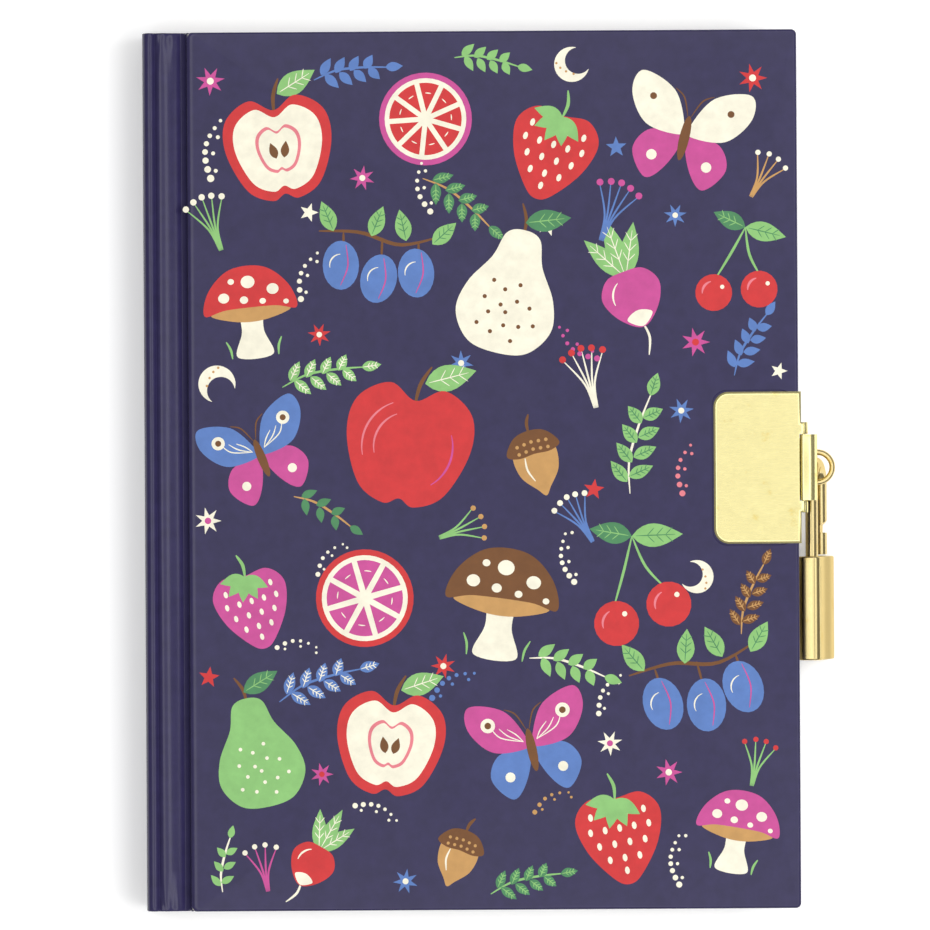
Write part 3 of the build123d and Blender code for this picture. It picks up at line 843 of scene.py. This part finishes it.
def plums(x, y, s, turn):
    p = Place(x, y, s, turn)
    p.line("brown", 1, [(-1.0, 0.55), (-0.3, 0.62), (0.4, 0.5), (1.05, 0.72)], 0.8)
    for u, v, a in ((-0.55, 0.02, 8), (0.12, -0.12, -6), (0.74, 0.06, 12)):
        p.line("brown", 1, [(u, v + 0.35), (u - 0.03, 0.58)], 0.5)
        p.disc("blue", 3, u, v, 0.31, 1.35, a, 24)
        p.line("cream", 4, arc(u, v, 0.19, 100, 200), 0.3)
        p.line("pink", 4, [(u + 0.04, v + 0.36), (u + 0.12, v), (u + 0.04, v - 0.34)], 0.3)
    for u, a in ((-0.75, 120), (-0.1, 76), (0.5, 110), (0.95, 50)):
        p.leaf("green", 2, u, 0.58, 0.55, 0.14, a, "fern")


def acorn(x, y, s, turn):
    p = Place(x, y, s, turn)
    p.fill("tan", 2, spline(mirrored([(0, 0.2), (0.5, 0.15), (0.48, -0.4), (0.16, -0.82), (0, -1.0)])))
    p.line("cream", 3, [(-0.25, 0.0), (-0.27, -0.3), (-0.16, -0.6)], 0.4)
    p.fill("brown", 4, spline(mirrored([(0, 0.62), (0.4, 0.52), (0.66, 0.16), (0.4, 0.02), (0, 0.04)])))
    p.line("brown", 4, [(0, 0.55), (0.02, 0.8), (0.12, 1.0)], 0.7)
    for k in range(5):
        for m in range(2):
            p.disc("tan", 5, -0.36 + 0.18 * k, 0.16 + 0.18 * m - 0.02 * abs(k - 2), 0.045, n=8)


def sprig(x, y, s, turn, stem, ink, pairs, vein=None):
    p = Place(x, y, s, turn)
    p.line(stem, 1, [(-1.0, -0.1), (-0.4, 0.06), (0.3, 0.04), (1.0, -0.06)], 0.5)
    for k in range(pairs):
        u = -0.8 + 1.5 * k / pairs
        size = 0.5 - 0.03 * k
        p.leaf(ink, 2, u, 0.0, size, 0.12, 52, vein)
        p.leaf(ink, 2, u + 0.1, 0.0, size, 0.12, -52, vein)
    p.leaf(ink, 2, 0.86, -0.04, 0.45, 0.12, -4, vein)


def grass(x, y, s, turn, ink, blades, tip):
    p = Place(x, y, s, turn)
    for k in range(blades):
        lean = (k / (blades - 1) - 0.5) * 1.3
        p.line(ink, 1, [(0.1 * lean, -1.0), (0.25 * lean, -0.2), (lean, 0.75 + 0.15 * math.cos(3 * lean))], 0.4)
        p.disc(tip, 2, lean, 0.78 + 0.15 * math.cos(3 * lean), 0.11, n=12)


def star(x, y, s, turn, ink, arms=5, centre=None):
    p = Place(x, y, s, turn)
    ring = []
    for k in range(2 * arms):
        r = 1.0 if k % 2 == 0 else 0.42
        ring.append((r * math.cos(math.pi * k / arms), r * math.sin(math.pi * k / arms)))
    p.fill(ink, 1, ring)
    if centre:
        p.disc(centre, 2, 0, 0, 0.24, n=14)


def moon(x, y, s, turn, ink):
    p = Place(x, y, s, turn)
    p.fill(ink, 1, arc(0, 0, 1.0, 46, 314, 26) + arc(0.42, 0, 0.75, 290, 70, 22))
    for k in range(4):
        p.disc("tan", 2, -0.72 + 0.06 * k * k, 0.5 - 0.34 * k, 0.07, n=10)


def dots(x, y, s, turn, ink, count):
    """A curved trail of dots that get smaller."""
    p = Place(x, y, s, turn)
    for k in range(count):
        t = k / (count - 1)
        p.disc(ink, 1, -1 + 2 * t, 0.35 * math.sin(math.pi * t), 0.11 * (1.15 - 0.6 * t), n=12)
        if k % 2:
            p.disc(ink, 1, -1 + 2 * t, 0.35 * math.sin(math.pi * t) - 0.28, 0.07, n=10)


apple(-39, 66, 11.5, 8, True)
citrus(-9, 72, 9.5, "pink", "red", 9)
strawberry(17, 66, 11.0, -18, "red")
moth(44, 68, 12.0, -14, "cream", "pink")
mushroom(-45, 33, 9.5, 6, "red")
plums(-20, 41, 12.0, -8)
pear(8, 36, 12.5, -14, "cream", "brown")
radish(33, 36, 10.0, 20, "pink")
cherries(55, 41, 9.0, -6)
moth(-43, 3, 10.5, 22, "blue", "pink")
apple(-13, 5, 13.5, -10, False)
acorn(13, 3, 8.5, 16)
sprig(34, 6, 11.0, 76, "cream", "green", 4, "fern")
strawberry(-45, -27, 9.5, 16, "pink")
citrus(-22, -26, 10.0, "red", "pink", 8)
mushroom(6, -27, 11.5, -8, "brown")
cherries(34, -24, 11.0, 10)
pear(-44, -58, 11.0, 12, "green", "cream")
apple(-17, -56, 11.5, -6, True)
moth(12, -57, 11.5, 12, "pink", "blue")
plums(46, -47, 13.0, 10)
radish(-33, -80, 7.5, -30, "red")
acorn(-3, -78, 7.5, -20)
strawberry(30, -74, 11.0, 10, "red")
mushroom(54, -74, 8.5, -10, "pink")

sprig(-24, 82, 8.0, 8, "blue", "blue", 4)
sprig(4, 84, 7.0, -10, "green", "green", 4)
sprig(-2, 55, 9.0, -38, "tan", "fern", 4, "green")
sprig(-30, 20, 9.0, 12, "green", "green", 4, "cream")
sprig(57, 26, 7.5, 60, "blue", "blue", 4)
sprig(-30, -8, 7.0, -30, "tan", "fern", 3)
sprig(-31, -43, 9.5, 20, "blue", "blue", 4, "cream")
sprig(20, -40, 8.5, -16, "cream", "green", 4)
sprig(57, -26, 8.0, 70, "tan", "brown", 4, "tan")
sprig(11, -84, 8.0, 14, "green", "fern", 4, "green")
sprig(-51, -80, 6.0, 80, "cream", "green", 3)
grass(-53, 51, 6.0, 20, "green", 5, "cream")
grass(29, 53, 6.5, -20, "blue", 5, "pink")
grass(24, 19, 6.5, 14, "cream", 5, "red")
grass(-2, -12, 5.0, -70, "green", 4, "tan")
grass(22, -10, 5.5, 30, "blue", 5, "cream")
grass(-43, -81, 5.0, 10, "pink", 4, "cream")
grass(58, -60, 5.0, -12, "green", 4, "red")
grass(60, 60, 5.0, -30, "tan", 4, "cream")
moon(21, 83, 3.6, 30, "cream")
moon(-52, 18, 3.8, -60, "cream")
moon(46, -22, 3.4, 160, "cream")
for x, y, s, t, ink, mid in ((-53, 80, 3.0, 10, "pink", "cream"), (-22, 60, 2.6, 30, "pink", "cream"),
                             (58, 80, 3.0, 0, "red", "cream"), (30, 66, 2.2, 20, "blue", None),
                             (-31, 28, 2.4, 16, "red", "cream"), (46, 26, 3.0, 0, "pink", "red"),
                             (-2, 22, 2.6, 40, "blue", "cream"), (25, -4, 2.2, 10, "red", None),
                             (-54, -10, 2.8, 0, "cream", "pink"), (-6, -40, 2.6, 24, "red", "cream"),
                             (-31, -62, 2.4, 0, "pink", "red"), (28, -56, 2.6, 16, "cream", "pink"),
                             (40, -62, 2.8, 0, "pink", "cream"), (-14, -84, 2.6, 30, "blue", "cream"),
                             (-54, -42, 2.2, 10, "red", None), (16, 50, 2.2, 0, "cream", None),
                             (42, 52, 2.4, 12, "blue", "cream"), (63, 20, 1.8, 0, "cream", None),
                             (43, 12, 2.6, 8, "blue", "cream"), (-33, 53, 2.0, 0, "cream", None)):
    star(x, y, s, t, ink, 5 if mid is None else 7, mid)
for x, y, s, t, ink, count in ((-9, 58, 5.0, 100, "cream", 7), (-52, 66, 6.0, 80, "cream", 8),
                               (44, 0, 5.0, 80, "rose", 7), (-33, 40, 5.0, 70, "cream", 7),
                               (22, 26, 5.0, 140, "pink", 7), (-29, -18, 4.0, 50, "cream", 6),
                               (20, -18, 5.0, 100, "cream", 8), (-4, -44, 5.0, 30, "blue", 7),
                               (-36, -36, 4.0, 0, "cream", 6), (28, -46, 4.5, 60, "cream", 7),
                               (42, -80, 5.0, 90, "cream", 8), (16, -68, 4.0, 30, "tan", 6),
                               (-20, -70, 4.5, -20, "cream", 7)):
    dots(x, y, s, t, ink, count)


def brush_line(bm, points, width, low, high):
    """A closed flat ribbon along the points that thins out at both ends."""
    count = max(8, 4 * len(points))
    knots = [points[0]] + points + [points[-1]]
    smooth = []
    for i in range(count + 1):
        f = (len(points) - 1) * i / count
        k = min(int(f), len(points) - 2)
        smooth.append(curve_point(knots[k:k + 4], f - k))
    loops = []
    for i, (x, y) in enumerate(smooth):
        ax, ay = smooth[max(i - 1, 0)]
        bx, by = smooth[min(i + 1, count)]
        length = math.hypot(bx - ax, by - ay) or 1.0
        half = 0.5 * width * (0.35 + 0.65 * math.sin(math.pi * i / count))
        ux, uy = -(by - ay) / length * half, (bx - ax) / length * half
        left, right = (x + ux, y + uy), (x - ux, y - uy)
        loops.append([(*left, high), (*right, high), (*right, low), (*left, low)])
    skin(bm, loops)


def flat_shape(bm, points, low, high):
    """A closed flat plate with the points as its outline."""
    area = sum(a[0] * b[1] - b[0] * a[1] for a, b in zip(points, points[1:] + points[:1]))
    ring = points if area > 0 else points[::-1]
    skin(bm, [[(x, y, low) for x, y in ring], [(x, y, high) for x, y in ring]])


for ink, shapes in design.items():
    bm = bmesh.new()
    for index, (level, points, width) in enumerate(shapes):
        high = TOP_Z + PRINT_STEP * (1 + level) + PRINT_SHIFT * (index % PRINT_SHIFTS)
        if width:
            brush_line(bm, points, width, PRINT_LOW, high)
        else:
            flat_shape(bm, points, PRINT_LOW, high)
    bm.normal_update()
    bmesh.ops.triangulate(bm, faces=[f for f in bm.faces if len(f.verts) > 4])
    obj = finish_mesh(bm, f"cover_print_{ink}", 30.0)
    dress(obj, "front_cover", paper_film(f"print_{ink}", INKS[ink], 0.08))


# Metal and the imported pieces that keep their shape

RIM_RINGS = ((0.36, 0.28), (0.25, 0.03), (0.2, 0.0))  # width and drop, from outside
NOTCH_REACH = 0.2  # how far the notch's upper edge runs on towards the hasp
NEAR_NOTCH = 0.02
NEAR_TOP = 0.2
ROUND_STEPS = 10
ROUND_START = 0.3  # flat strip cut off beside each rounded side
ON_CURVE = 0.12  # points this near the curve belong to it
PLATE_BEVEL, HASP_BEVEL, SHELL_BEVEL = 0.1, 0.12, 0.1


def plate_rim(bm):
    """Stamps the plate's upper outline: a short steep slope outside, then a narrow shallow one."""
    bm.normal_update()
    top = max((f for f in bm.faces if f.normal.z > 0.99), key=lambda f: f.calc_area())
    drops = []
    for wide, drop in RIM_RINGS:
        ring = bmesh.ops.inset_individual(bm, faces=[top], thickness=wide, use_even_offset=True)["faces"]
        outside = {v for f in ring for v in f.verts} - set(top.verts)
        drops += [(vert, drop) for vert in outside if vert.co.x < BED_END_X or abs(vert.co.y - LOCK_Y) > HASP_NOTCH]
    for vert, drop in drops:
        vert.co.z -= drop
    for vert in bm.verts:
        in_notch = abs(vert.co.x - NOTCH_X) < NEAR_NOTCH and abs(vert.co.y - LOCK_Y) < HASP_NOTCH
        if in_notch and vert.co.z > TOP_Z - NEAR_TOP:
            vert.co.x = NOTCH_X + NOTCH_REACH


def round_sides(bm):
    """Cuts the padlock shell's rounded sides into narrow strips that lie on the true curve."""
    turn = LOCK_AXES.transposed()
    for vert in bm.verts:
        vert.co = turn @ (vert.co - LOCK_MID) - Vector((0, CASE_MID_Y, 0))
    centre_x = CASE_HALF.x - CASE_SIDE
    centre_z = CASE_HALF.z - CASE_SIDE
    cuts = [((side * (centre_x - ROUND_START), 0, 0), (1, 0, 0)) for side in (-1, 1)]
    for side in (-1, 1):
        for half in (-1, 1):
            for a in quarter(ROUND_STEPS):
                cuts.append(((side * centre_x, 0, half * centre_z), (side * math.sin(a), 0, -half * math.cos(a))))
    for place, normal in cuts:
        bmesh.ops.bisect_plane(bm, geom=bm.verts[:] + bm.edges[:] + bm.faces[:], dist=1e-5, plane_co=place,
                               plane_no=normal)
    for vert in bm.verts:
        dx = abs(vert.co.x) - centre_x
        dz = abs(vert.co.z) - centre_z
        reach = math.hypot(dx, dz)
        between_ends = abs(vert.co.y) < CASE_HALF.y - 0.9 * CASE_EDGE
        if dx > 0 and dz > 0 and reach > CASE_SIDE - ON_CURVE and between_ends:
            vert.co.x = math.copysign(centre_x + dx * CASE_SIDE / reach, vert.co.x)
            vert.co.z = math.copysign(centre_z + dz * CASE_SIDE / reach, vert.co.z)
    for vert in bm.verts:
        vert.co = LOCK_AXES @ (vert.co + Vector((0, CASE_MID_Y, 0))) + LOCK_MID


softened("front_plate", "bevelled_front_plate", "front_cover", sheet_brass, PLATE_BEVEL,
         shape=plate_rim)
softened("hasp", "bevelled_hasp", "hasp_tongue", sheet_brass, HASP_BEVEL, segments=3)
softened("back_plate", "bevelled_back_plate", "back_cover", sheet_brass, PLATE_BEVEL)
for side in ("front", "back"):
    softened(f"padlock_{side}_shell", f"pressed_{side}_shell", "padlock_case", lock_brass,
             SHELL_BEVEL, shape=round_sides)

KEPT = {
    "staple": wire_brass, "shackle": wire_brass, "hasp_pin": wire_brass, "key_plug": lock_brass,
    "padlock_rivets": lock_brass, "heel_clip": lock_steel, "lock_bolt": lock_steel, "front_board": greyboard,
    "back_board": greyboard, "spine_board": greyboard, "front_pastedown": end_paper, "back_pastedown": end_paper,
    "back_flyleaf": end_paper, "spine_lining": gauze,
}
for node, mat in KEPT.items():
    slots = bpy.data.objects[node].material_slots
    for slot in slots:
        slot.material = mat
    if not slots:
        bpy.data.objects[node].data.materials.append(mat)


# Floor, light and camera

FLOOR_REACH = 1500.0
FLOOR_GLOW = 0.24
DOME_GREYS = ((0.0, 0.12), (0.6, 0.13), (0.81, 0.22), (0.87, 1.0), (0.955, 1.0), (0.985, 0.45))  # height, grey
DOME_STRENGTH = 1.9
CAMERA_LENS = 302.6
CAMERA_HEIGHT = 1.6  # metres above the cover
CAMERA_OFF_X, CAMERA_OFF_Y = -1.33, 1.13
CAMERA_TURN = math.radians(-0.34)


def grey(tone):
    return (tone, tone, tone)


def lift_for_view(nodes, links, shader, lift):
    """Adds an even glow where the floor is looked at or mirrored, so that it shows white and keeps its shadow."""
    path = nodes.new("ShaderNodeLightPath")
    seen = nodes.new("ShaderNodeMath")
    seen.operation = "MAXIMUM"
    links.new(path.outputs["Is Camera Ray"], seen.inputs[0])
    links.new(path.outputs["Is Glossy Ray"], seen.inputs[1])
    strength = nodes.new("ShaderNodeMath")
    strength.operation = "MULTIPLY"
    strength.inputs[1].default_value = lift
    links.new(seen.outputs[0], strength.inputs[0])
    shader.inputs["Emission Color"].default_value = (1, 1, 1, 1)
    links.new(strength.outputs[0], shader.inputs["Emission Strength"])


def floor():
    mat, nodes, links, shader = new_material("pale_floor")
    place = coords(nodes, links)
    links.new(ramp(nodes, links, noise(nodes, links, place, 0.01, 2.0), ((0.3, grey(0.93)), (0.7, grey(0.95)))),
              shader.inputs["Base Color"])
    shader.inputs["Roughness"].default_value = 0.9
    shader.inputs["Specular IOR Level"].default_value = 0.0
    lift_for_view(nodes, links, shader, FLOOR_GLOW)
    bm = bmesh.new()
    bmesh.ops.create_grid(bm, x_segments=4, y_segments=4, size=FLOOR_REACH)
    obj = finish_mesh(bm, "floor")
    obj.data.materials.append(mat)


def sky():
    """A soft studio dome, brightest in a ring high up and half as bright straight overhead."""
    world = bpy.data.worlds.new("studio")
    world.use_nodes = True
    nodes = world.node_tree.nodes
    links = world.node_tree.links
    nodes.clear()
    out = nodes.new("ShaderNodeOutputWorld")
    back = nodes.new("ShaderNodeBackground")
    place = nodes.new("ShaderNodeTexCoord")
    split = nodes.new("ShaderNodeSeparateXYZ")
    links.new(place.outputs["Generated"], split.inputs["Vector"])
    stops = [(height, grey(tone)) for height, tone in DOME_GREYS]
    links.new(ramp(nodes, links, split.outputs["Z"], stops), back.inputs["Color"])
    back.inputs["Strength"].default_value = DOME_STRENGTH
    links.new(back.outputs["Background"], out.inputs["Surface"])
    bpy.context.scene.world = world


def lamp(name, where, aim, size, power):
    """A round soft lamp that metal doesn't mirror."""
    data = bpy.data.lights.new(name, "AREA")
    data.shape = "DISK"
    data.size = size
    data.energy = power
    obj = bpy.data.objects.new(name, data)
    obj.location = where
    obj.rotation_euler = (Vector(aim) - Vector(where)).to_track_quat("-Z", "Y").to_euler()
    obj.visible_glossy = False
    bpy.context.scene.collection.objects.link(obj)


floor()
sky()
lamp("key_lamp", where=(0.5, -0.05, 1.0), aim=(0, 0, 0), size=0.75, power=6.6)

camera = bpy.data.cameras.new("photo_camera")
camera.sensor_width = 36.0
camera.lens = CAMERA_LENS
camera.clip_start = 0.05
eye = bpy.data.objects.new("photo_camera", camera)
eye.location = (CAMERA_OFF_X * MM, CAMERA_OFF_Y * MM, CAMERA_HEIGHT + TOP_Z * MM)
eye.rotation_euler = (0.0, 0.0, CAMERA_TURN)
bpy.context.scene.collection.objects.link(eye)
bpy.context.scene.camera = eye

bpy.context.scene.view_settings.view_transform = "Standard"
